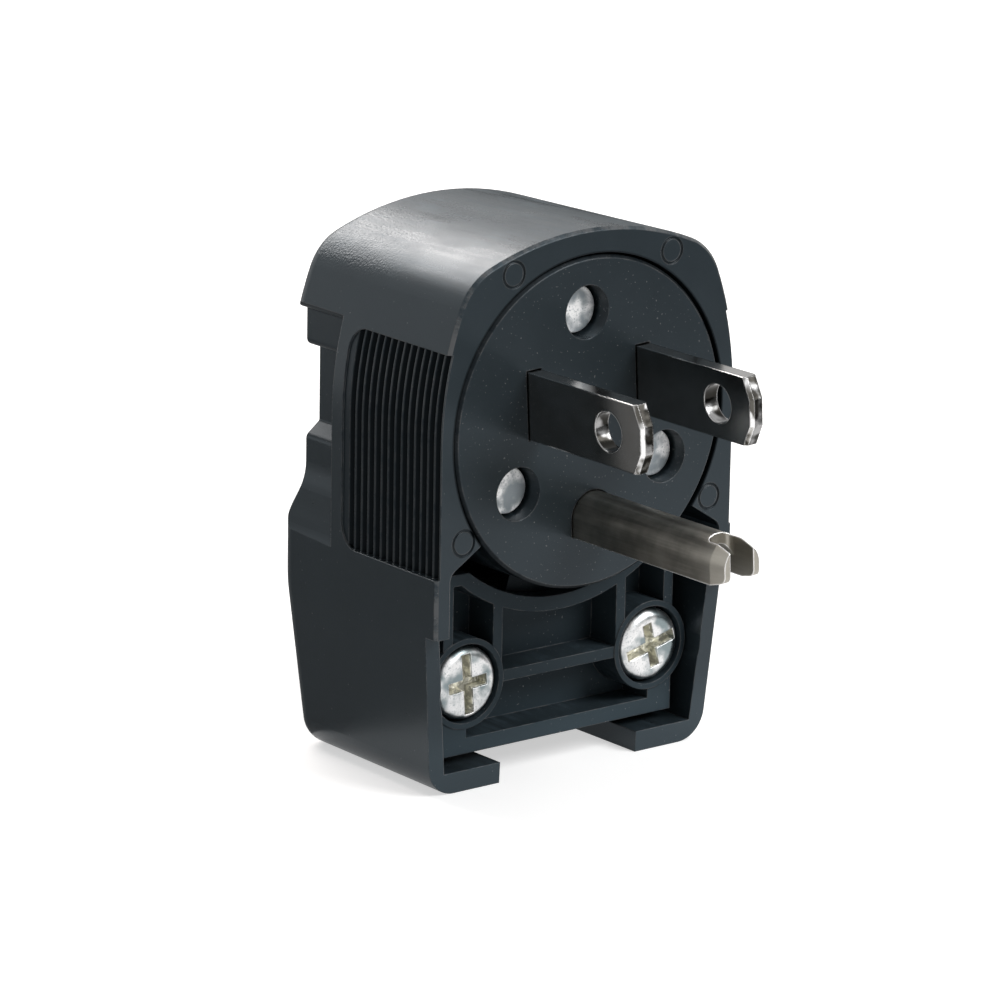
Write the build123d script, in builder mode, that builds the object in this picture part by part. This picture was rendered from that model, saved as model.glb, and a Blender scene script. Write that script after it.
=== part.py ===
from build123d import *
import math
import os

# Right-angle three-pin plug. It stands on its two feet, with its contacts to the front (-Y).
# Millimetres, +Z up. The origin is on the floor, under the middle of the whole outline.
# A depth is measured back from the front face. A rise or a drop is measured from the disc's axis.

# Contact disc
disc_diameter = 31.0
disc_thickness = 5.8
disc_height = 33.4
disc_turn = 3.5
disc_clearance = 0.25
disc_edge = 0.3
flange_thickness = 1.2
top_flange_reach = 0.9
lower_flange_reach = 2.0
flange_half_angle = 20.0
turning_play = 8.0
barrier_thickness = 1.0
barrier_spacing = 8.4
barrier_length = 22.0
barrier_depth = 5.6

# Contacts
blade_spacing = 12.7
blade_rise = 3.0
blade_width = 6.35
blade_thickness = 1.52
blade_length = 16.0
tip_length = 0.9
tip_width = 2.5
tip_bevel = 0.3
blade_hole = 3.7
blade_hole_distance = 11.3
bend_radius = 1.2
tab_margin = 2.9
tab_corner = 1.2
pin_drop = 11.86
pin_width = 4.8
pin_leg = 1.6
pin_wall = 1.05
pin_length = 20.8
pin_tip = 1.6
pin_tip_angle = 14.0
prong_length = 3.2
prong_slot_round = 0.6
prong_round = 0.7
strap_width = 5.6
slot_clearance = 0.1

# Terminals
terminal_inset = 5.6
ground_inset = 5.1
terminal_hole = 5.0
terminal_screw = 4.4
terminal_screw_setback = 1.75
terminal_head = 6.2
terminal_head_height = 2.2
terminal_head_edge = 0.5
washer_diameter = 6.8
washer_thickness = 0.9
screw_clearance = 0.1
slot_width = 1.0
slot_depth = 1.1

# Housing
body_depth = 24.2
side_rim = 1.75
crown_rim = 2.3
side_curve = 33.0
side_draft = 1.0
shoulder_rise = 14.7
shoulder_round = 6.0
ledge_height = 15.6
ledge_setback = 1.5
waist_round = 20.0
foot_setback = 2.2
foot_width = 32.4
foot_thickness = 2.0
foot_gap = 16.2
foot_round = 3.0
foot_spare = 2.0
side_wall = 1.6
back_wall = 2.2
back_lean = 1.5
back_lean_height = 16.5
back_lean_round = 25.0
back_round = 1.8
front_edge = 0.3
seat_ledge = 1.1
terminal_room = 8.4
rear_room_width = 23.6
rear_room_rise = 10.5
rear_room_round = 3.0
lobe_drop = 9.6
lobe_half = 12.3
lobe_fall = 2.3
lobe_round = 1.2

# Round marks on the rim
mark_diameter = 2.6
mark_groove = 0.25
mark_depth = 0.15
lower_mark_drop = 9.1
lower_mark_half = 14.45
upper_mark_rise = 14.9
upper_mark_half = 9.2

# Ribbed side grips
grip_end = 14.6
grip_top_rise = 8.4
grip_bottom_drop = 12.2
grip_depth = 0.45
grip_corner = 2.2
groove_count = 14
groove_pitch = 0.975
groove_first = 0.6
groove_width = 0.8
groove_depth = 0.55

# Finger notches behind the grips
notch_start = 16.2
notch_depth = 2.95
notch_deep = 4.45
notch_top_rise = 8.3
deep_top_rise = 4.6
deep_bottom_drop = 2.8
shelf_slope = 1.2
notch_bottom_drop = 7.8
ramp_drop = 13.0
notch_round = 0.25
notch_lip = 0.65
lip_inset = 0.3
notch_bevel = 0.5
ramp_round = 5.0
ramp_run = 2.5

# Cord clamp
clamp_front = 3.8
clamp_width = 27.2
clamp_bottom = 2.9
clamp_drop = 13.3
clamp_plate = 2.0
pocket_depth = 3.6
rib = 1.1
bottom_rib = 1.5
upright_spacing = 14.6
arc_gap = 1.6
arc_rib = 1.4
leg_width = 2.8
groove_clearance = 0.15
saddle_radius = 7.0
saddle_depth = 1.1
cord_rib = 0.9
cord_rib_height = 1.0
cord_rib_length = 11.0
cord_rib_pitch = 3.6
cord_rib_count = 3

# Clamp screws
clamp_screw_inset = 5.3
clamp_screw_height = 9.6
clamp_screw = 3.6
clamp_screw_length = 14.0
clamp_head = 7.0
clamp_head_height = 2.4
clamp_head_round = 1.0
boss_diameter = 8.6
boss_recess = 7.5
boss_clearance = 0.25
boss_proud = 0.1
recess_depth = 2.2
cross_width = 1.1
cross_length = 4.4
slot_length = 5.8
cross_depth = 1.2
cross_taper = 8.0
post_diameter = 7.6
pilot_spare = 1.0

# Worked-out sizes
disc_radius = disc_diameter / 2
bore_radius = disc_radius + disc_clearance
body_half = bore_radius + side_rim
crown_height = disc_height + bore_radius + crown_rim
side_angle = math.degrees(math.asin(shoulder_rise / side_curve))
shoulder_half = body_half - side_curve * (1 - math.cos(math.radians(side_angle)))
shoulder_height = disc_height + shoulder_rise
foot_half = foot_width / 2
foot_slope = (body_half - foot_half) / ledge_height
clamp_screw_spacing = foot_width - 2 * clamp_screw_inset
face_y = (pin_length - body_depth) / 2
disc_back = disc_thickness + flange_thickness
cavity_radius = disc_radius - seat_ledge
terminal_back = disc_back + terminal_room
rear_room_back = body_depth - back_lean - back_wall
lobe_top = disc_height - lobe_drop
side_centre = (body_half - side_curve, disc_height)
grip_floor = body_half - grip_depth
grip_low = disc_height - grip_bottom_drop
grip_high = disc_height + grip_top_rise
floor_curve = side_curve - grip_depth
floor_angle = math.degrees(math.asin(grip_top_rise / floor_curve))
notch_floor = body_half - notch_depth
deep_floor = body_half - notch_deep
notch_top = disc_height + notch_top_rise
deep_top = disc_height + deep_top_rise
deep_bottom = disc_height - deep_bottom_drop
lip_angle = math.asin((notch_top_rise + notch_lip) / side_curve)
back_inset = body_depth * math.tan(math.radians(side_draft))
lip_x = body_half - back_inset - side_curve * (1 - math.cos(lip_angle)) - lip_inset
blade_back = disc_back + blade_thickness
arc_inner = disc_radius + arc_gap
arc_outer = arc_inner + arc_rib
clamp_top = disc_height - clamp_drop
clamp_back = clamp_front + pocket_depth + clamp_plate
clamp_seat = clamp_front - boss_proud + recess_depth
pin_rise = blade_rise - pin_drop
pin_foot = pin_rise - pin_leg
pin_gap = pin_width - 2 * pin_wall
terminal_angles = {"live": 210, "neutral": 330, "ground": 90}
terminal_insets = {"live": terminal_inset, "neutral": terminal_inset, "ground": ground_inset}
tab_thickness = {"live": blade_thickness, "neutral": blade_thickness, "ground": pin_wall}
sides = {"left": -1, "right": 1}
drive_turns = {"left": 5, "right": -75}

# Working planes: the front face, the turned face of the disc, and the upright middle
turn = math.radians(disc_turn)
front = Plane(origin=(0, face_y, 0), x_dir=(1, 0, 0), z_dir=(0, -1, 0))
disc_front = Plane(
    origin=(0, face_y, disc_height),
    x_dir=(math.cos(turn), 0, math.sin(turn)),
    z_dir=(0, -1, 0),
)
upright = Plane(origin=(0, face_y, 0), x_dir=(0, 1, 0), z_dir=(1, 0, 0))


def behind(depth):
    """The plane parallel to the front face, the given depth behind it."""
    return front.offset(-depth)


def behind_disc(depth):
    """The plane of the disc's face, turned with it, the given depth behind it."""
    return disc_front.offset(-depth)


def terminal_spot(name):
    """A terminal's place on the disc's face."""
    angle = math.radians(terminal_angles[name])
    radius = disc_radius - terminal_insets[name]
    return (radius * math.cos(angle), radius * math.sin(angle))


def sector(radius, half_angle, facing):
    """A sector of a circle about the origin, facing up (1) or down (-1)."""
    with BuildSketch() as shape:
        with BuildLine():
            rim = CenterArc((0, 0), radius, 90 * facing - half_angle, 2 * half_angle)
            Polyline(rim @ 1, (0, 0), rim @ 0)
        make_face()
    return shape.sketch


def arch(half_width):
    """The ground pin's arched outline: round above, with straight legs below."""
    with BuildSketch() as shape:
        with BuildLine():
            roof = CenterArc((0, pin_rise), half_width, 0, 180)
            Polyline(roof @ 1, (-half_width, pin_foot), (half_width, pin_foot), roof @ 0)
        make_face()
    return shape.sketch


def notch(grow):
    """The stepped finger notch's outline on the right side, grown into the body, open past the side."""
    step = notch_deep - notch_depth
    ramp_fall = ramp_drop - notch_bottom_drop
    shelf_shift = grow * (math.hypot(step, shelf_slope) - shelf_slope) / step
    ramp_shift = grow * (math.hypot(notch_depth, ramp_fall) - ramp_fall) / notch_depth
    inner = notch_round + grow
    outer = notch_lip - grow
    ramp_end = disc_height - ramp_drop - ramp_shift
    with BuildSketch() as shape:
        with BuildLine():
            FilletPolyline(
                (lip_x - notch_lip, notch_top + grow),
                (notch_floor - grow, notch_top + grow),
                (notch_floor - grow, deep_top + grow),
                (deep_floor - grow, deep_top + grow),
                (deep_floor - grow, deep_bottom - shelf_shift),
                (notch_floor - grow, deep_bottom - shelf_slope - shelf_shift),
                (notch_floor - grow, disc_height - notch_bottom_drop - ramp_shift),
                (body_half, ramp_end),
                (body_half, ramp_end - ramp_run),
                radius=[inner, outer, inner, inner, outer, ramp_round + grow, ramp_round - grow],
            )
            Polyline(
                (body_half, ramp_end - ramp_run),
                (body_half + notch_depth, ramp_end - ramp_run),
                (body_half + notch_depth, notch_top + notch_lip),
                (lip_x - grow, notch_top + notch_lip),
            )
            CenterArc((lip_x - notch_lip, notch_top + notch_lip), outer, 0, -90)
        make_face()
    return shape.sketch


def save(piece, name):
    """Labels a finished piece and writes it to its own file."""
    piece.part.label = name
    export_step(piece.part, f"parts/{name}.step")


os.makedirs("parts", exist_ok=True)

# Hollow of the grip on the right side: a shallow pocket, open to the front, with upright grooves
with BuildPart() as grip_hollow:
    with BuildSketch(front):
        with BuildLine():
            bend = CenterArc(side_centre, floor_curve, 0, floor_angle)
            Polyline(
                bend @ 1,
                (body_half + grip_depth, grip_high),
                (body_half + grip_depth, grip_low),
                (grip_floor, grip_low),
                bend @ 0,
            )
        make_face()
    extrude(amount=-grip_end)
    with BuildSketch(Plane.XY.offset(grip_low)):
        for n in range(groove_count):
            groove_y = face_y + groove_first + n * groove_pitch
            with BuildLine():
                Polyline(
                    (grip_floor, groove_y - groove_width / 2),
                    (grip_floor - groove_depth, groove_y),
                    (grip_floor, groove_y + groove_width / 2),
                    close=True,
                )
            make_face()
    with BuildLine(front):
        Line((grip_floor, grip_low), (grip_floor, disc_height))
        CenterArc(side_centre, floor_curve, 0, floor_angle)
    sweep()
    with BuildSketch(upright):
        with Locations((0, grip_low)):
            Rectangle(grip_end, grip_high - grip_low, align=Align.MIN)
        fillet(vertices().group_by(Axis.X)[-1], grip_corner)
    extrude(amount=body_half + grip_depth, mode=Mode.INTERSECT)

# Hollow of the finger notch at the right back corner, with its steps bevelled at the back
with BuildPart() as notch_hollow:
    with BuildSketch(behind(notch_start)):
        add(notch(0))
    extrude(amount=notch_start - body_depth)
    with BuildSketch(behind(body_depth - notch_bevel)):
        add(notch(0))
    with BuildSketch(behind(body_depth)):
        add(notch(notch_bevel))
    loft(ruled=True)

# Housing: one moulding, open to the front below the disc and to the floor between its feet
with BuildPart() as housing:
    # Front outline, run back with a slight draft, to below the floor
    with BuildSketch(front):
        with BuildLine():
            ThreePointArc(
                (-shoulder_half, shoulder_height), (0, crown_height), (shoulder_half, shoulder_height)
            )
            CenterArc(side_centre, side_curve, 0, side_angle)
            CenterArc((side_curve - body_half, disc_height), side_curve, 180, -side_angle)
            Polyline(
                (body_half, disc_height),
                (body_half, ledge_height),
                (foot_half - foot_slope * foot_spare, -foot_spare),
                (foot_slope * foot_spare - foot_half, -foot_spare),
                (-body_half, ledge_height),
                (-body_half, disc_height),
            )
        make_face()
        fillet(vertices().group_by(Axis.Y)[1], waist_round)
        fillet(vertices().group_by(Axis.Y)[-1], shoulder_round)
    extrude(amount=-body_depth, taper=side_draft)

    # Side outline: the lower front stands back, and the lower back leans in
    with BuildSketch(upright):
        with BuildLine():
            Polyline(
                (foot_setback, 0),
                (ledge_setback, ledge_height),
                (0, ledge_height),
                (0, crown_height),
                (body_depth, crown_height),
                (body_depth, back_lean_height),
                (body_depth - back_lean, 0),
                close=True,
            )
        make_face()
        lean_corner = vertices().sort_by_distance((body_depth, back_lean_height, 0))[0]
        fillet(lean_corner, back_lean_round)
    extrude(amount=body_half, both=True, mode=Mode.INTERSECT)

    # Rounded feet, a rounded edge round the back, and a fine bevel round the front
    fillet(faces().sort_by(Axis.Z)[0].edges().filter_by(Axis.X, reverse=True), foot_round)
    back_faces = faces().filter_by(lambda face: face.normal_at().Y > 0.5)
    fillet(back_faces.edges().filter_by(Axis.X, reverse=True), back_round)
    chamfer(faces().sort_by(Axis.Y)[0].edges().filter_by(Axis.X, reverse=True), front_edge)

    # Seat of the disc, with the groove that holds its top flange
    with BuildSketch(front):
        with Locations((0, disc_height)):
            Circle(bore_radius)
    extrude(amount=-disc_back, mode=Mode.SUBTRACT)
    with BuildSketch(behind(disc_thickness - groove_clearance)):
        with Locations((0, disc_height)):
            add(sector(bore_radius + top_flange_reach, flange_half_angle + turning_play, 1))
    extrude(amount=-(flange_thickness + groove_clearance), mode=Mode.SUBTRACT)

    # Room for the terminals, and the narrower room behind it
    with BuildSketch(behind(disc_back)):
        with Locations((0, disc_height)):
            Circle(cavity_radius)
    extrude(amount=-terminal_room, mode=Mode.SUBTRACT)
    rear_room_height = disc_height + rear_room_rise - foot_thickness
    with BuildSketch(behind(terminal_back)):
        with Locations((0, foot_thickness + rear_room_height / 2)):
            RectangleRounded(rear_room_width, rear_room_height, rear_room_round)
    extrude(amount=terminal_back - rear_room_back, mode=Mode.SUBTRACT)

    # Opening below the disc, with a lobe up each side of it
    with BuildSketch(front):
        with BuildLine():
            Polyline(
                (foot_half - side_wall, foot_thickness),
                (body_half - side_wall, ledge_height),
                (body_half - side_wall, lobe_top - lobe_fall),
                (lobe_half, lobe_top),
                (-lobe_half, lobe_top),
                (side_wall - body_half, lobe_top - lobe_fall),
                (side_wall - body_half, ledge_height),
                (side_wall - foot_half, foot_thickness),
                close=True,
            )
        make_face()
        fillet(vertices().group_by(Axis.Y)[-2], lobe_round)
        with Locations((0, foot_thickness)):
            Rectangle(foot_gap, 2 * foot_thickness)
    extrude(amount=-rear_room_back, mode=Mode.SUBTRACT)

    # Relief for the clamp's bosses in the side walls
    with BuildSketch(front):
        with Locations((0, clamp_screw_height)):
            with GridLocations(clamp_screw_spacing, 0, 2, 1):
                Circle(boss_diameter / 2 + boss_clearance)
    extrude(amount=-clamp_back, mode=Mode.SUBTRACT)

    # Posts that the clamp screws drive into, and ribs that bite the cord
    with BuildSketch(behind(clamp_back)):
        with Locations((0, clamp_screw_height)):
            with GridLocations(clamp_screw_spacing, 0, 2, 1):
                Circle(post_diameter / 2)
    extrude(amount=clamp_back - rear_room_back)
    with BuildSketch(behind(clamp_back)):
        with Locations((0, clamp_screw_height)):
            with GridLocations(clamp_screw_spacing, 0, 2, 1):
                Circle(clamp_screw / 2 + screw_clearance)
    extrude(amount=clamp_back - clamp_seat - clamp_screw_length - pilot_spare, mode=Mode.SUBTRACT)
    with BuildSketch(behind(rear_room_back)):
        with Locations((0, clamp_screw_height)):
            with GridLocations(0, cord_rib_pitch, 1, cord_rib_count):
                Rectangle(cord_rib_length, cord_rib)
    extrude(amount=cord_rib_height)

    # Ribbed grips and finger notches on both sides
    for hollow in (grip_hollow, notch_hollow):
        add(hollow.part, mode=Mode.SUBTRACT)
        mirror(hollow.part, about=Plane.YZ, mode=Mode.SUBTRACT)

    # Shallow ring marks on the front rim
    with BuildSketch(front):
        with Locations((0, disc_height - lower_mark_drop)):
            with GridLocations(2 * lower_mark_half, 0, 2, 1):
                Circle(mark_diameter / 2)
                Circle(mark_diameter / 2 - mark_groove, mode=Mode.SUBTRACT)
        with Locations((0, disc_height + upper_mark_rise)):
            with GridLocations(2 * upper_mark_half, 0, 2, 1):
                Circle(mark_diameter / 2)
                Circle(mark_diameter / 2 - mark_groove, mode=Mode.SUBTRACT)
    extrude(amount=-mark_depth, mode=Mode.SUBTRACT)
save(housing, "housing")

# Contact disc: carries the contacts, hooked under the crown and held by the clamp's arc below
with BuildPart() as contact_disc:
    with BuildSketch(disc_front):
        Circle(disc_radius)
    extrude(amount=-disc_back)
    chamfer(faces().sort_by(Axis.Y)[0].edges(), disc_edge)
    with BuildSketch(behind_disc(disc_thickness)):
        add(sector(disc_radius + top_flange_reach, flange_half_angle, 1))
        add(sector(disc_radius + lower_flange_reach, flange_half_angle, -1))
    extrude(amount=-flange_thickness)
    with BuildSketch(behind_disc(disc_back)):
        with GridLocations(barrier_spacing, 0, 2, 1):
            Rectangle(barrier_thickness, barrier_length)
    extrude(amount=-barrier_depth)
    with BuildSketch(disc_front):
        with Locations((0, blade_rise)):
            with GridLocations(blade_spacing, 0, 2, 1):
                Rectangle(blade_thickness + 2 * slot_clearance, blade_width + 2 * slot_clearance)
        with Locations(*[terminal_spot(name) for name in terminal_angles]):
            Circle(terminal_hole / 2)
    extrude(amount=-disc_back, mode=Mode.SUBTRACT)
    with BuildSketch(disc_front):
        add(arch(pin_width / 2 + slot_clearance))
        add(arch(pin_gap / 2 - slot_clearance), mode=Mode.SUBTRACT)
    extrude(amount=-disc_back, mode=Mode.SUBTRACT)
save(contact_disc, "contact_disc")

# Blades: each a strip through the disc, bent outwards behind it into a terminal tab
for name, side in {"live": -1, "neutral": 1}.items():
    spot_x, spot_y = terminal_spot(name)
    inner_x = side * (blade_spacing - blade_thickness) / 2
    outer_x = spot_x + side * tab_margin
    top_y = blade_rise + blade_width / 2
    low_y = spot_y - tab_margin
    blade_side = Plane(
        origin=disc_front.from_local_coords((inner_x, blade_rise, 0)),
        x_dir=disc_front.z_dir,
        z_dir=side * disc_front.x_dir,
    )
    with BuildPart() as blade:
        with BuildSketch(blade_side):
            with BuildLine():
                Polyline(
                    (-blade_back, blade_width / 2),
                    (blade_length - tip_length, blade_width / 2),
                    (blade_length, tip_width / 2),
                    (blade_length, -tip_width / 2),
                    (blade_length - tip_length, -blade_width / 2),
                    (-blade_back, -blade_width / 2),
                    close=True,
                )
            make_face()
            with Locations((blade_hole_distance, 0)):
                Circle(blade_hole / 2, mode=Mode.SUBTRACT)
        extrude(amount=blade_thickness)
        tip_edges = edges().filter_by(lambda edge: edge.center().Y < face_y - blade_length + tip_length)
        chamfer(tip_edges.filter_by(Axis((0, 0, 0), disc_front.x_dir), reverse=True), tip_bevel)
        with BuildSketch(behind_disc(disc_back)):
            with Locations(((inner_x + outer_x) / 2, (top_y + low_y) / 2)):
                Rectangle(abs(outer_x - inner_x), top_y - low_y)
            fillet(vertices().sort_by(Axis.X)[::side][2:], tab_corner)
        extrude(amount=-blade_thickness)
        with BuildSketch(behind_disc(disc_back)):
            with Locations((spot_x, spot_y)):
                Circle(terminal_screw / 2 + screw_clearance)
        extrude(amount=-blade_thickness, mode=Mode.SUBTRACT)
        bends = edges().filter_by(Axis((0, 0, 0), disc_front.y_dir)).group_by(Axis.Y)[-1]
        fillet(bends.sort_by(Axis.X)[::side][0], bend_radius)
    save(blade, f"{name}_blade")

# Ground pin: folded sheet, open below, with a strap up to the top terminal
with BuildPart() as ground_pin:
    with BuildSketch(behind_disc(disc_back + pin_wall)):
        add(arch(pin_width / 2))
    extrude(amount=disc_back + pin_wall + pin_length - pin_tip)
    with BuildSketch(disc_front.offset(pin_length - pin_tip)):
        add(arch(pin_width / 2))
    extrude(amount=pin_tip, taper=pin_tip_angle)
    with BuildSketch(behind_disc(disc_back + pin_wall)):
        add(arch(pin_gap / 2))
    extrude(amount=disc_back + pin_wall + pin_length, mode=Mode.SUBTRACT)

    # A slot through the end of the roof leaves the walls as two prongs, rounded below
    pin_top = Plane(
        origin=disc_front.from_local_coords((0, pin_rise, pin_length - prong_length)),
        x_dir=disc_front.x_dir,
        z_dir=disc_front.y_dir,
    )
    with BuildSketch(pin_top):
        Rectangle(pin_gap, 2 * prong_length, align=(Align.CENTER, Align.MAX))
        fillet(vertices(), prong_slot_round)
    extrude(amount=pin_width, mode=Mode.SUBTRACT)
    prong_ends = faces().sort_by(Axis.Y)[:2]
    fillet(prong_ends.edges().filter_by(Axis((0, 0, 0), disc_front.x_dir)), prong_round)

    spot_x, spot_y = terminal_spot("ground")
    strap_low = pin_rise + pin_width / 2 - pin_wall
    with BuildSketch(behind_disc(disc_back)):
        with Locations((0, strap_low)):
            Rectangle(strap_width, spot_y - strap_low, align=(Align.CENTER, Align.MIN))
        with Locations((spot_x, spot_y)):
            Circle(strap_width / 2)
            Circle(terminal_screw / 2 + screw_clearance, mode=Mode.SUBTRACT)
    extrude(amount=-pin_wall)
save(ground_pin, "ground_pin")

# Terminal screws and washers: one of each at every terminal, driven from behind
for name in terminal_angles:
    tab_back = disc_back + tab_thickness[name]
    seat = tab_back + washer_thickness
    with BuildPart() as washer:
        with BuildSketch(behind_disc(tab_back)):
            with Locations(terminal_spot(name)):
                Circle(washer_diameter / 2)
                Circle(terminal_screw / 2 + screw_clearance, mode=Mode.SUBTRACT)
        extrude(amount=-washer_thickness)
    save(washer, f"{name}_washer")
    with BuildPart() as screw:
        with BuildSketch(behind_disc(seat)):
            with Locations(terminal_spot(name)):
                Circle(terminal_head / 2)
        extrude(amount=-terminal_head_height)
        chamfer(faces().sort_by(Axis.Y)[-1].edges(), terminal_head_edge)
        with BuildSketch(behind_disc(seat + terminal_head_height)):
            with Locations(terminal_spot(name)):
                Rectangle(terminal_head, slot_width)
        extrude(amount=slot_depth, mode=Mode.SUBTRACT)
        with BuildSketch(behind_disc(seat)):
            with Locations(terminal_spot(name)):
                Circle(terminal_screw / 2)
        extrude(amount=seat - terminal_screw_setback)
    save(screw, f"{name}_terminal_screw")

# Cord clamp: a cored frame under the disc, with an arc that holds the disc's lower flange
with BuildPart() as cord_clamp:
    with BuildSketch(behind(clamp_front)):
        with Locations((0, clamp_bottom)):
            Rectangle(clamp_width, clamp_top - clamp_bottom, align=(Align.CENTER, Align.MIN))
        with Locations((0, disc_height)):
            Circle(arc_inner, mode=Mode.SUBTRACT)
    extrude(amount=clamp_front - clamp_back)

    # Cored pockets between the ribs
    pocket_low = clamp_bottom + bottom_rib
    pocket_top = clamp_top - rib
    with BuildSketch(behind(clamp_front)):
        with Locations((0, pocket_low)):
            Rectangle(clamp_width - 2 * rib, pocket_top - pocket_low, align=(Align.CENTER, Align.MIN))
        with Locations((0, clamp_screw_height)):
            Rectangle(clamp_width, rib, mode=Mode.SUBTRACT)
            with GridLocations(clamp_width - leg_width, 0, 2, 1):
                leg_align = (Align.CENTER, Align.MAX)
                Rectangle(leg_width, clamp_screw_height, align=leg_align, mode=Mode.SUBTRACT)
            with GridLocations(upright_spacing, 0, 2, 1):
                Rectangle(rib, disc_height, align=(Align.CENTER, Align.MIN), mode=Mode.SUBTRACT)
            with GridLocations(clamp_screw_spacing, 0, 2, 1):
                Circle(boss_diameter / 2, mode=Mode.SUBTRACT)
        with Locations((0, disc_height)):
            Circle(arc_outer, mode=Mode.SUBTRACT)
    extrude(amount=-pocket_depth, mode=Mode.SUBTRACT)

    # Groove behind the arc for the disc's flange
    with BuildSketch(behind(disc_thickness - groove_clearance)):
        groove_radius = disc_radius + lower_flange_reach + groove_clearance
        with Locations((0, disc_height)):
            add(sector(groove_radius, flange_half_angle + turning_play, -1))
    extrude(amount=-(flange_thickness + 2 * groove_clearance), mode=Mode.SUBTRACT)

    # Screw bosses with their recesses and holes
    with BuildSketch(behind(clamp_front - boss_proud)):
        with Locations((0, clamp_screw_height)):
            with GridLocations(clamp_screw_spacing, 0, 2, 1):
                Circle(boss_diameter / 2)
    extrude(amount=clamp_front - boss_proud - clamp_back)
    with BuildSketch(behind(clamp_front - boss_proud)):
        with Locations((0, clamp_screw_height)):
            with GridLocations(clamp_screw_spacing, 0, 2, 1):
                Circle(boss_recess / 2)
    extrude(amount=-recess_depth, mode=Mode.SUBTRACT)
    with BuildSketch(behind(clamp_seat)):
        with Locations((0, clamp_screw_height)):
            with GridLocations(clamp_screw_spacing, 0, 2, 1):
                Circle(clamp_screw / 2 + screw_clearance)
    extrude(amount=clamp_seat - clamp_back, mode=Mode.SUBTRACT)

    # Hollow saddle for the cord along the back
    with BuildSketch(Plane.XY):
        with Locations((0, face_y + clamp_back + saddle_radius - saddle_depth)):
            Circle(saddle_radius)
    extrude(amount=disc_height, mode=Mode.SUBTRACT)
save(cord_clamp, "cord_clamp")

# Clamp screws: pan heads with a cross drive, driven into the housing's posts
for name, side in sides.items():
    spot = (side * clamp_screw_spacing / 2, clamp_screw_height)
    with BuildPart() as clamp_bolt:
        with BuildSketch(behind(clamp_seat)):
            with Locations(spot):
                Circle(clamp_head / 2)
        extrude(amount=clamp_head_height)
        fillet(faces().sort_by(Axis.Y)[0].edges(), clamp_head_round)
        with BuildSketch(behind(clamp_seat - clamp_head_height)):
            with Locations(spot):
                Rectangle(cross_length, cross_width, rotation=drive_turns[name])
                Rectangle(cross_width, slot_length, rotation=drive_turns[name])
        extrude(amount=-cross_depth, taper=cross_taper, mode=Mode.SUBTRACT)
        with BuildSketch(behind(clamp_seat)):
            with Locations(spot):
                Circle(clamp_screw / 2)
        extrude(amount=-clamp_screw_length)
    save(clamp_bolt, f"{name}_clamp_screw")
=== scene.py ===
import math

import bmesh
import bpy
from mathutils import Matrix, Vector

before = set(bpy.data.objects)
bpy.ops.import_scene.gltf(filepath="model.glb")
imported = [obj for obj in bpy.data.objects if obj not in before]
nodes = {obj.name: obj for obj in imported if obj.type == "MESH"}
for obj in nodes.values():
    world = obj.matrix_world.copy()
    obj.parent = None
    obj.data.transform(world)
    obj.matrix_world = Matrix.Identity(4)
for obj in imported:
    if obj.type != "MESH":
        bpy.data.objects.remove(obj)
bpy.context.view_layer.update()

# Right-angle three-pin plug: finishes, studio and camera. Metres, +Z up, contacts towards -Y.
MM = 0.001


def grey(level, tint=(1.0, 1.0, 1.0)):
    """A linear colour of the given level and tint."""
    return tuple(level * part for part in tint) + (1.0,)


# Tints, then the colours that all the plastic shares: the black of painted shade and the grey of
# edges that are partly scuffed and partly a painted highlight
CHARCOAL = (0.70, 1.0, 1.20)
WARM = (1.0, 0.95, 0.84)
COOL = (0.90, 1.0, 1.06)
BEIGE = (1.0, 0.97, 0.80)
TEAL = (0.80, 0.96, 1.0)
BROWN = (1.0, 0.80, 0.60)
BLUE_SHEEN = grey(1.0, (0.84, 1.0, 1.13))
PAINTED_SHADE_BLACK = grey(0.006, CHARCOAL)
SCUFFED_AND_LIT_EDGE = grey(0.12)


# Shader maths

class Field:
    """A value or colour that changes over a surface, written in Python expressions."""

    def __init__(self, finish, socket):
        self.finish = finish
        self.socket = socket

    def maths(self, operation, *values):
        inputs = dict(enumerate(values))
        return self.finish.make("ShaderNodeMath", {"operation": operation}, inputs)

    def __add__(self, other):
        return self.maths("ADD", self, other)

    def __radd__(self, other):
        return self.maths("ADD", other, self)

    def __sub__(self, other):
        return self.maths("SUBTRACT", self, other)

    def __rsub__(self, other):
        return self.maths("SUBTRACT", other, self)

    def __mul__(self, other):
        return self.maths("MULTIPLY", self, other)

    def __rmul__(self, other):
        return self.maths("MULTIPLY", other, self)

    def __truediv__(self, other):
        return self.maths("DIVIDE", self, other)

    def __pow__(self, other):
        return self.maths("POWER", self, other)

    def __abs__(self):
        return self.maths("ABSOLUTE", self)

    def most(self, other):
        """The larger of two values."""
        return self.maths("MAXIMUM", self, other)

    def rise(self, low, high):
        """0 below low, 1 above high, and a smooth step between; falls where low is above high."""
        settings = {"interpolation_type": "SMOOTHSTEP"}
        start, end = (0, 1) if low < high else (1, 0)
        limits = {"From Min": min(low, high), "From Max": max(low, high)}
        sockets = {"Value": self, "To Min": start, "To Max": end} | limits
        return self.finish.make("ShaderNodeMapRange", settings, sockets)


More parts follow.
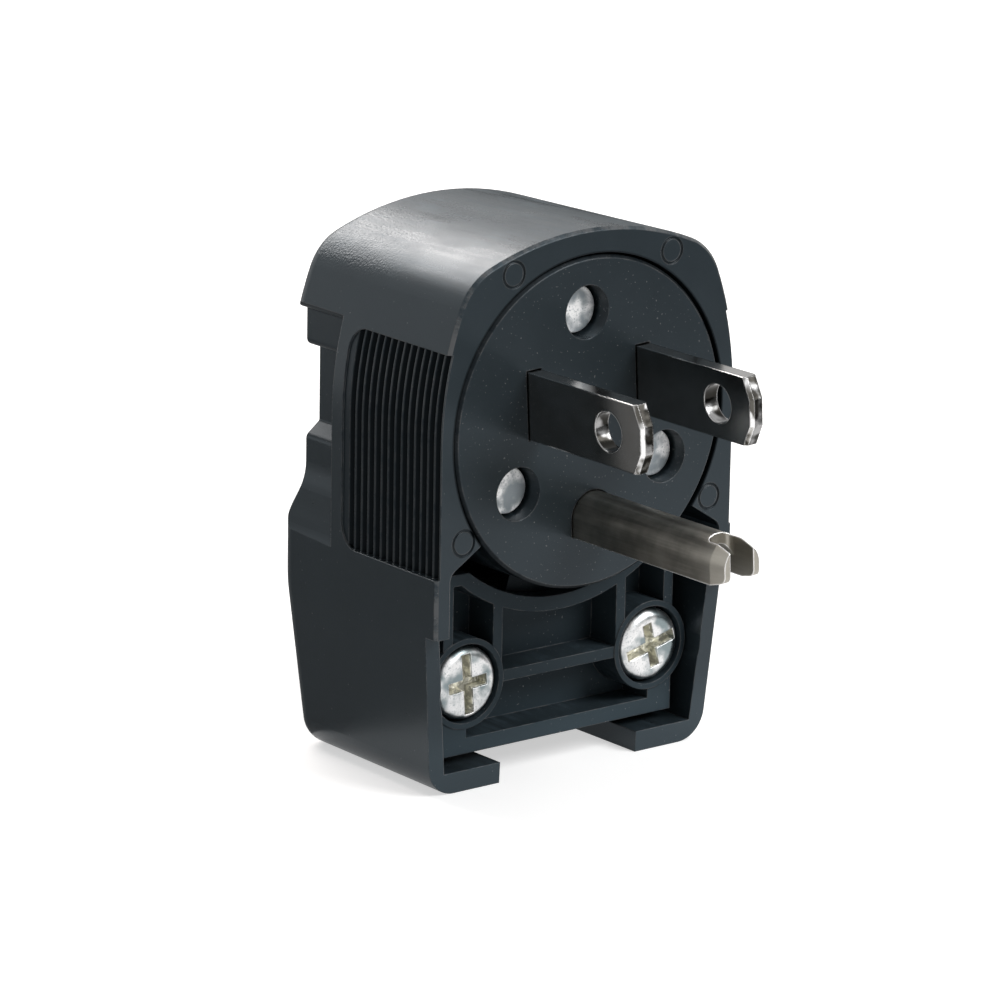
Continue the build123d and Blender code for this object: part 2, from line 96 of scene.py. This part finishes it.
class Finish:
    """The nodes that make one material, or the studio's surroundings."""

    NOISE_ROUGHNESS = 0.55
    EDGE_SAMPLES = 6
    EDGE_START = 0.005

    def __init__(self, owner):
        owner.use_nodes = True
        self.owner = owner
        self.tree = owner.node_tree
        self.tree.nodes.clear()

    def make(self, kind, settings=None, inputs=None, out=0):
        """Adds a node: its settings, then the values or links of its sockets. Gives one output."""
        node = self.tree.nodes.new(kind)
        for name, value in (settings or {}).items():
            setattr(node, name, value)
        for name, value in (inputs or {}).items():
            if isinstance(value, Field):
                self.tree.links.new(value.socket, node.inputs[name])
            else:
                node.inputs[name].default_value = value
        return Field(self, node.outputs[out]) if node.outputs else node

    def place(self, **mapping):
        """The surface point, in metres, moved and stretched as a Mapping node says."""
        point = self.make("ShaderNodeTexCoord", out="Object")
        if mapping:
            point = self.make("ShaderNodeMapping", None, {"Vector": point} | mapping)
        return point

    def axes(self):
        """The surface point's X, Y and Z, in millimetres."""
        point = self.place()
        return [self.make("ShaderNodeSeparateXYZ", None, {0: point}, axis) / MM for axis in "XYZ"]

    def away(self, place):
        """Millimetres from a line along Y that crosses X and Z at a place; left is as right."""
        across, _, high = self.axes()
        aside = abs(across) - place[0]
        up = high - place[1]
        return (aside * aside + up * up) ** 0.5

    def noise(self, size, detail, stretch=(1, 1, 1)):
        """Soft noise from 0 to 1, with features of the given size in millimetres."""
        inputs = {"Scale": 1 / (size * MM), "Detail": detail, "Roughness": self.NOISE_ROUGHNESS}
        inputs["Vector"] = self.place(Scale=stretch)
        return self.make("ShaderNodeTexNoise", None, inputs, "Fac")

    def facing(self):
        """The surface's own direction: its X, Y and Z parts."""
        normal = self.make("ShaderNodeTexCoord", out="Normal")
        return [self.make("ShaderNodeSeparateXYZ", None, {0: normal}, axis) for axis in "XYZ"]

    def seen(self):
        """1 where the camera, a mirror or glass looks at the surface, 0 where it only lights."""
        rays = ["Is Camera Ray", "Is Glossy Ray", "Is Transmission Ray"]
        camera, mirror, glass = [self.make("ShaderNodeLightPath", out=ray) for ray in rays]
        return (camera + mirror + glass).rise(0.0, 1.0)

    def blend(self, first, second, factor):
        """A colour between two others."""
        sockets = {"Factor": factor, 6: first, 7: second}
        return self.make("ShaderNodeMix", {"data_type": "RGBA"}, sockets, 2)

    def edges(self, radius, full=0.20):
        """The normal with edges rounded by a radius in millimetres, and how much that turns it."""
        settings = {"samples": self.EDGE_SAMPLES}
        rounded = self.make("ShaderNodeBevel", settings, {"Radius": radius * MM})
        plain = self.make("ShaderNodeNewGeometry", out="Normal")
        settings = {"operation": "DOT_PRODUCT"}
        along = self.make("ShaderNodeVectorMath", settings, {0: rounded, 1: plain}, "Value")
        return rounded, (1 - along).rise(self.EDGE_START, full)

    def bump(self, height, depth, normal):
        """A normal turned by a height, of which 1 stands for a depth in millimetres."""
        inputs = {"Height": height, "Distance": depth * MM, "Normal": normal}
        return self.make("ShaderNodeBump", None, inputs)

    def surface(self, painted_shade=None, **sockets):
        """Ends the material with one Principled shader, mixed towards a matt, nearly black painted
        shade in its hollows.
        """
        named = {name.replace("_", " "): value for name, value in sockets.items()}
        shader = self.make("ShaderNodeBsdfPrincipled", None, named)
        if painted_shade is not None:
            # Painted shade: a matt near-black mixed in where the hollows are
            matt = self.make("ShaderNodeBsdfDiffuse", None, {"Color": PAINTED_SHADE_BLACK})
            shader = self.make("ShaderNodeMixShader", None, {0: painted_shade, 1: shader, 2: matt})
        self.make("ShaderNodeOutputMaterial", None, {"Surface": shader})
        return self.owner


def new_finish(name):
    """An empty material's nodes."""
    return Finish(bpy.data.materials.new(name))


# Places where the finishes change, in millimetres. Two limits are where a change starts and ends.

DISC_MIDDLE = (0.0, 33.4)
SEAM_RADIUS = 15.6
SEAT_WIDTH = 0.25
DISC_BEVEL = 0.35
FLANGE_FADE = 0.2
FLANGE_DEPTH = (1.0, 2.0)
FRONT_LAYER = (0.5, 0.0)
RING_FADE = (0.1, 0.05)
MARK_PLACES = [(14.45, 24.3), (9.2, 48.3)]
MARK_RADIUS = 1.3
MARK_WIDTH = 0.2

GRIP_MIDDLE = (-15.5, 33.4)
GRIP_RADIUS = 32.55
GROOVE_DEPTH = (-0.06, 0.12)
GRIP_FRONT, GRIP_BACK = (-1.5, -1.3), (12.95, 12.85)
GRIP_LOW, GRIP_TOP = (21.1, 21.3), (41.9, 41.7)
NOTCH_FRONT, NOTCH_TOP = (13.0, 13.5), (42.0, 41.5)
GRAIN_FRONT, GRAIN_LOW = (6.0, 16.0), (40.0, 42.0)
FEET_TOP = (8.0, 3.0)

BLADE_HOLE = (-13.0, 36.39)
BLADE_HOLE_RADIUS = 1.87
BLADE_TIP = (-16.6, -16.8)
PIN_TIP = (-17.0, -22.5)
SCREW_PLACE = (10.9, 9.6)
RECESS_DEPTH, RECESS_RADIUS = (1.85, 2.10), (2.9, 2.6)

# The slope of the turned disc, and the soft edge of the blades' holes in square millimetres

DISC_SLOPE = math.tan(math.radians(3.5))
BLADE_HOLE_FADE = 0.1

# How far painted shade darkens the hollows, from 0 to 1

GROOVE_SHADE = 0.9
LEDGE_SHADE = 0.55
SEAT_SHADE = 0.7
MARK_SHADE = 0.4
DISC_BEVEL_SHADE = 0.7
FLANGE_SHADE = 0.8

# Directions that a surface faces, as limits on a part of its normal

UPWARDS, CROWN_UP = (0.3, 0.6), (0.35, 0.80)
SHOULDER_UP, SHOULDER_TOP = (0.42, 0.62), (1.0, 0.92)
FORWARDS = (-0.90, -0.97)
BEVEL_FRONT, BEVEL_SIDE = (-0.94, -0.86), (-0.35, -0.55)
CUT_EDGE, CUT_BEVEL = (0.95, 0.85), (0.3, 0.5)


# Finishes

def grip_grooves(finish):
    """1 down in the grooves of the side grips, and 0 on their ridges and everywhere else."""
    across, deep, high = finish.axes()
    out = abs(across) - GRIP_MIDDLE[0]
    up = (high - GRIP_MIDDLE[1]).most(0.0)
    below = GRIP_RADIUS - (out * out + up * up) ** 0.5
    along = deep.rise(*GRIP_FRONT) * deep.rise(*GRIP_BACK)
    within = high.rise(*GRIP_LOW) * high.rise(*GRIP_TOP)
    return below.rise(*GROOVE_DEPTH) * along * within


def front_ring(finish, place, inner, outer):
    """1 on a ring round a point of the front face, and 0 elsewhere."""
    away = finish.away(place)
    outside, inside = RING_FADE
    ring = away.rise(inner - outside, inner + inside) * away.rise(outer + outside, outer - inside)
    return ring * finish.axes()[1].rise(*FRONT_LAYER)


def housing_painted_shade(finish):
    """Painted shade in the grips' grooves, on the notches' ledges, at the edge of the disc's seat
    and in the marks' rings.
    """
    deep, high = finish.axes()[1:]
    upwards = finish.facing()[2].rise(*UPWARDS)
    ledge = upwards * deep.rise(*NOTCH_FRONT) * high.rise(*NOTCH_TOP)
    seat = front_ring(finish, DISC_MIDDLE, SEAM_RADIUS, SEAM_RADIUS + SEAT_WIDTH)
    hollows = grip_grooves(finish) * GROOVE_SHADE + ledge * LEDGE_SHADE + seat * SEAT_SHADE
    for place in MARK_PLACES:
        mark = front_ring(finish, place, MARK_RADIUS - MARK_WIDTH, MARK_RADIUS)
        hollows = hollows + mark * MARK_SHADE
    return hollows


def disc_painted_shade(finish):
    """Painted shade on the bevelled edge of the disc, and on its flanges down in the gap."""
    outside = finish.away(DISC_MIDDLE).rise(SEAM_RADIUS - FLANGE_FADE, SEAM_RADIUS)
    flanges = finish.axes()[1].rise(*FLANGE_DEPTH) * outside
    bevel = front_ring(finish, DISC_MIDDLE, SEAM_RADIUS - DISC_BEVEL, SEAM_RADIUS)
    return bevel * DISC_BEVEL_SHADE + flanges * FLANGE_SHADE


def moulded_plastic(name, level, gloss, sheen, dust, hollows=None):
    """Charcoal moulding: fine grain, a scuffed crown, dust, painted shade in its hollows, painted
    light on the front of its feet, and pale edges, partly scuffed and partly a painted highlight.
    """
    finish = new_finish(name)
    deep, high = finish.axes()[1:]
    ahead, above = finish.facing()[1:]
    mottle = finish.noise(size=5.0, detail=4.0)
    grain = finish.noise(size=0.14, detail=2.0)
    coarse = finish.noise(size=0.24, detail=1.0)
    rub = finish.noise(size=1.2, detail=5.0, stretch=(1, 0.35, 1))
    brushed = finish.noise(size=0.7, detail=5.0, stretch=(1, 0.08, 1))
    cloud = finish.noise(size=4.0, detail=4.0, stretch=(1, 0.45, 1)).rise(0.32, 0.68)
    specks = finish.noise(size=0.28, detail=1.0).rise(1.0 - dust, 1.05 - dust)

    crown = above.rise(*CROWN_UP)
    shoulder = above.rise(*SHOULDER_UP) * above.rise(*SHOULDER_TOP)
    grained = shoulder * deep.rise(*GRAIN_FRONT) * high.rise(*GRAIN_LOW)
    scuffs = crown * finish.noise(size=4.0, detail=3.0).rise(0.36, 0.62)
    # Painted light: forward faces low on the feet are made paler
    feet = ahead.rise(*FORWARDS) * high.rise(*FEET_TOP)
    rounded, edge = finish.edges(radius=0.15, full=0.06)
    bevel = ahead.rise(*BEVEL_FRONT) * ahead.rise(*BEVEL_SIDE)
    # Paler edges and front chamfers: partly scuffed plastic, partly a painted edge highlight
    scuffed_and_lit_edges = edge.most(bevel) * rub.rise(0.34, 0.60)
    painted_shade = None
    if hollows:
        # Painted shade in the hollows, which also keeps the pale edges out of them
        painted_shade = hollows(finish)
        scuffed_and_lit_edges = scuffed_and_lit_edges * (1 - painted_shade)

    darker, paler = grey(level * 0.86, CHARCOAL), grey(level * 1.14, CHARCOAL)
    body = finish.blend(darker, paler, mottle)
    # Painted light on the front of the feet, in the feet mask
    feet_painted_paler = finish.blend(body, grey(level * 2.0, CHARCOAL), feet * 0.9)
    # Painted edge highlight, partly scuffing, mixed into the colour
    scuffed_and_lit = finish.blend(feet_painted_paler, SCUFFED_AND_LIT_EDGE, scuffed_and_lit_edges * 0.8)
    streaks = scuffs * brushed.rise(0.42, 0.66) * 0.4
    streaked = finish.blend(scuffed_and_lit, grey(level * 3.6, CHARCOAL), streaks)
    colour = finish.blend(streaked, grey(level * 12.0), specks * 0.4)
    uneven = (mottle - 0.5) * 0.10 + (grain - 0.5) * 0.14
    clouded = ((brushed - 0.5) * 0.24 + (cloud - 0.5) * 0.12) * crown
    return finish.surface(
        painted_shade=painted_shade,
        Base_Color=colour,
        Roughness=gloss + uneven + clouded - scuffed_and_lit_edges * 0.08,
        Normal=finish.bump(grain * 0.2 + coarse * grained * 1.8, 0.03, rounded),
        IOR=1.5,
        Specular_IOR_Level=sheen,
        Specular_Tint=BLUE_SHEEN,
    )


def polished_nickel():
    """Plated strip: a dark clouded mirror with drawn scratches, painted highlights on its edges,
    painted shade down its hole, and a ragged, darker cut tip with painted glint highlights.
    """
    finish = new_finish("polished_nickel")
    across, deep, high = finish.axes()
    sidewards = abs(finish.facing()[0])
    streak = finish.noise(size=0.25, detail=3.0, stretch=(1, 0.03, 1))
    cloud = finish.noise(size=3.0, detail=3.0)
    spots = finish.noise(size=0.3, detail=1.0).rise(0.74, 0.80)
    ragged = finish.noise(size=1.3, detail=1.0)
    rounded, edge = finish.edges(radius=0.22)

    along = deep - BLADE_HOLE[0]
    up = high - BLADE_HOLE[1] - across * DISC_SLOPE
    wall = BLADE_HOLE_RADIUS**2
    # Painted shade down the wall of the blade's hole
    hole = (along * along + up * up).rise(wall + BLADE_HOLE_FADE, wall)
    cut = sidewards.rise(*CUT_EDGE) * deep.rise(*BLADE_TIP)
    shaded_hole_and_cut = hole.most(cut)

    face = finish.blend(grey(0.18, WARM), grey(0.32), cloud)
    spotted = finish.blend(face, grey(0.42, BROWN), spots * 0.7)
    # The cut tip is darker unplated metal; down the hole this is painted shade
    hole_shade_and_cut = finish.blend(grey(0.02, WARM), grey(0.30), ragged.rise(0.46, 0.68))
    shaded = finish.blend(spotted, hole_shade_and_cut, shaded_hole_and_cut)
    # Painted glint highlights on the bevels of the tip
    painted_glints = finish.blend(grey(0.10, WARM), grey(0.80), ragged.rise(0.40, 0.60))
    bevelled = finish.blend(shaded, painted_glints, cut * sidewards.rise(*CUT_BEVEL))
    # Painted highlight on the rounded edges, less in the hole and on the tip
    painted_edge_highlight = edge * (1 - hole * 0.5) * (1 - cut * 0.4)
    return finish.surface(
        Base_Color=finish.blend(bevelled, grey(0.85), painted_edge_highlight),
        Metallic=1.0,
        Roughness=0.10 + streak * 0.08 + cloud * 0.06,
        Normal=finish.bump(streak * 0.02 + ragged * shaded_hole_and_cut * 1.5, 0.04, rounded),
    )


def dull_nickel():
    """Duller folded pin: brownish and satin, paler towards its tip, with a painted highlight on its
    edges.
    """
    finish = new_finish("dull_nickel")
    deep = finish.axes()[1]
    streak = finish.noise(size=0.30, detail=4.0, stretch=(1, 0.04, 1))
    cloud = finish.noise(size=2.5, detail=4.0)
    rounded, edge = finish.edges(radius=0.20)
    satin = (streak * 0.4 + cloud * 0.6).rise(0.30, 0.70)
    base = finish.blend(grey(0.17, WARM), grey(0.30, WARM), satin)
    tip = finish.blend(base, grey(0.42, WARM), deep.rise(*PIN_TIP) * 0.6)
    return finish.surface(
        # Painted highlight on the rounded edges
        Base_Color=finish.blend(tip, grey(0.95), edge),
        Metallic=1.0,
        Roughness=0.28 + streak * 0.12 + cloud * 0.08,
        Normal=finish.bump(streak, 0.002, rounded),
    )


def zinc_steel(name, level, gloss, tint):
    """Zinc-plated screw: pearly and tinted patches, specks, a painted highlight on its edges and a
    yellowed drive recess.
    """
    finish = new_finish(name)
    cloud = finish.noise(size=2.4, detail=2.0)
    speck = finish.noise(size=0.2, detail=3.0)
    facets = finish.noise(size=0.8, detail=2.0).rise(0.40, 0.60)
    rounded, edge = finish.edges(radius=0.15)
    within = finish.away(SCREW_PLACE).rise(*RECESS_RADIUS)
    recess = finish.axes()[1].rise(*RECESS_DEPTH) * within

    patch = grey(level * 0.36, tint)
    plate = finish.blend(patch, grey(level), cloud.rise(0.40, 0.60))
    dusted = finish.blend(plate, patch, speck.rise(0.50, 0.70) * 0.6)
    # Painted highlight on the rounded edges
    edge_highlighted = finish.blend(dusted, grey(0.92), edge * 0.7)
    yellowed = finish.blend(grey(0.42, BEIGE), grey(0.95, BEIGE), facets)
    height = speck * 0.15 + cloud * 0.5 + facets * recess * 4.0
    return finish.surface(
        Base_Color=finish.blend(edge_highlighted, yellowed, recess * 0.8),
        Metallic=1 - recess * 0.4,
        Roughness=gloss + cloud * 0.12 + speck * 0.14 + recess * 0.10,
        Normal=finish.bump(height, 0.03, rounded),
    )


def dress(material, *names):
    """Gives CAD pieces a finish."""
    for name in names:
        mesh = nodes[name].data
        mesh.materials.clear()
        mesh.materials.append(material)


charcoal = moulded_plastic(
    "charcoal_plastic", level=0.022, gloss=0.32, sheen=0.32, dust=0.24, hollows=housing_painted_shade
)
clamp_charcoal = moulded_plastic("clamp_plastic", level=0.031, gloss=0.42, sheen=0.10, dust=0.26)
disc_charcoal = moulded_plastic(
    "disc_plastic", level=0.019, gloss=0.32, sheen=0.31, dust=0.31, hollows=disc_painted_shade
)
bright_zinc = zinc_steel("bright_zinc", level=0.74, gloss=0.18, tint=TEAL)
dull_zinc = zinc_steel("dull_zinc", level=0.98, gloss=0.46, tint=COOL)

dress(charcoal, "housing")
dress(clamp_charcoal, "cord_clamp")
dress(disc_charcoal, "contact_disc")
dress(polished_nickel(), "live_blade", "neutral_blade")
dress(dull_nickel(), "ground_pin")
dress(bright_zinc, "left_clamp_screw", "right_clamp_screw")
for terminal in ["live", "neutral", "ground"]:
    dress(dull_zinc, f"{terminal}_terminal_screw", f"{terminal}_washer")


# Studio, in metres, apart from where the far floor whitens, which is in millimetres

AMBIENT = 0.20
MIDDLE = (0, 0, 0.03)
FLOOR_RADIUS = 4.0
FLOOR_DROP = 0.02 * MM
FLOOR_COLOUR = grey(0.70)
FLOOR_GLOW, FAR_GLOW = 0.56, 0.42
FAR_FLOOR = (300.0, 1100.0)


def stage_piece(name, shape, material):
    """Puts a finished bmesh on the stage, beside the object."""
    mesh = bpy.data.meshes.new(name)
    shape.to_mesh(mesh)
    shape.free()
    mesh.materials.append(material)
    piece = bpy.data.objects.new(name, mesh)
    bpy.context.collection.objects.link(piece)
    return piece


def studio_floor():
    """A white floor that keeps the soft shadow, just under the feet and clear from below."""
    finish = new_finish("white_floor")
    across, deep = finish.axes()[:2]
    far = ((across * across + deep * deep) ** 0.5).rise(*FAR_FLOOR)
    strength = finish.seen() * (FLOOR_GLOW + far * FAR_GLOW)
    matt = finish.make("ShaderNodeBsdfDiffuse", None, {"Color": FLOOR_COLOUR})
    glow = finish.make("ShaderNodeEmission", None, {"Color": grey(1.0), "Strength": strength})
    both = finish.make("ShaderNodeAddShader", None, {0: matt, 1: glow})
    below = finish.make("ShaderNodeNewGeometry", out="Backfacing")
    clear = finish.make("ShaderNodeBsdfTransparent")
    shown = finish.make("ShaderNodeMixShader", None, {0: below, 1: both, 2: clear})
    finish.make("ShaderNodeOutputMaterial", None, {"Surface": shown})
    shape = bmesh.new()
    drop = Matrix.Translation((0, 0, -FLOOR_DROP))
    bmesh.ops.create_circle(shape, cap_ends=True, segments=64, radius=FLOOR_RADIUS, matrix=drop)
    stage_piece("studio_floor", shape, finish.owner)


def painted_reflection_card(name, near, far, half_width, level):
    """A dark sheet that only mirrors show, from its near edge on the floor to its raised far edge:
    a painted reflection of shaded surroundings that glows faintly.
    """
    finish = new_finish(name)
    glow = finish.make("ShaderNodeEmission", None, {"Color": grey(level)})
    finish.make("ShaderNodeOutputMaterial", None, {"Surface": glow})
    near, far = Vector(near), Vector(far)
    across = (far - near).cross(Vector((0, 0, 1))).normalized() * half_width
    shape = bmesh.new()
    corners = [near - across, near + across, far + across, far - across]
    shape.faces.new([shape.verts.new(corner) for corner in corners])
    card = stage_piece(name, shape, finish.owner)
    card.visible_camera = False
    card.visible_diffuse = False
    card.visible_shadow = False


def soft_box(name, place, size, watts, colour):
    """A square area lamp that faces the middle of the object."""
    lamp = bpy.data.lights.new(name, "AREA")
    lamp.shape = "SQUARE"
    lamp.size = size
    lamp.energy = watts
    lamp.color = colour
    holder = bpy.data.objects.new(name, lamp)
    bpy.context.collection.objects.link(holder)
    holder.location = place
    holder.rotation_mode = "QUATERNION"
    holder.rotation_quaternion = (Vector(MIDDLE) - Vector(place)).to_track_quat("-Z", "Y")


def white_surroundings():
    """White where it is seen or mirrored, softer where it lights the object."""
    world = bpy.data.worlds.new("studio")
    bpy.context.scene.world = world
    finish = Finish(world)
    strength = AMBIENT + finish.seen() * (1.0 - AMBIENT)
    glow = finish.make("ShaderNodeBackground", None, {"Color": grey(1.0), "Strength": strength})
    finish.make("ShaderNodeOutputWorld", None, {"Surface": glow})


studio_floor()
white_surroundings()
soft_box("key", place=(0.045, 0.46, 0.43), size=0.40, watts=3.5, colour=(1.0, 0.95, 0.92))
soft_box("fill", place=(0.28, -0.50, 0.52), size=0.42, watts=4.7, colour=(1.0, 1.0, 1.0))
# Painted reflections: the left card stands in for the object's shadow on the floor, the back and
# right cards for darker surroundings
painted_reflection_card(
    "left_card",
    near=(-0.020, 0.016, 0.001),
    far=(-0.120, 0.140, 0.010),
    half_width=0.12,
    level=0.30,
)
painted_reflection_card(
    "back_card",
    near=(0.12, 0.16, 0.001),
    far=(0.26, 0.34, 0.12),
    half_width=0.20,
    level=0.10,
)
painted_reflection_card(
    "right_card",
    near=(0.100, -0.120, 0.001),
    far=(0.26, -0.17, 0.12),
    half_width=0.10,
    level=0.15,
)
bpy.context.scene.view_settings.view_transform = "Standard"


# Camera: the photograph's angle, through a long lens

FOCAL_LENGTH = 192.4
SENSOR = 36.0
DISTANCE = 0.4855
NEAREST = 0.01
AIM = Vector((-7.466, 1.914, 26.477)) * MM
HEADING = math.radians(38.665)
LOOK_DOWN = math.radians(14.97)
ROLL = math.radians(1.03)

flat = math.cos(LOOK_DOWN)
forward = Vector((math.sin(HEADING) * flat, math.cos(HEADING) * flat, -math.sin(LOOK_DOWN)))
lens = bpy.data.cameras.new("camera")
lens.lens = FOCAL_LENGTH
lens.sensor_width = SENSOR
lens.clip_start = NEAREST
camera = bpy.data.objects.new("camera", lens)
bpy.context.collection.objects.link(camera)
camera.location = AIM - forward * DISTANCE
turned = forward.to_track_quat("-Z", "Y").to_matrix() @ Matrix.Rotation(ROLL, 3, "Z")
camera.rotation_euler = turned.to_euler()
bpy.context.scene.camera = camera
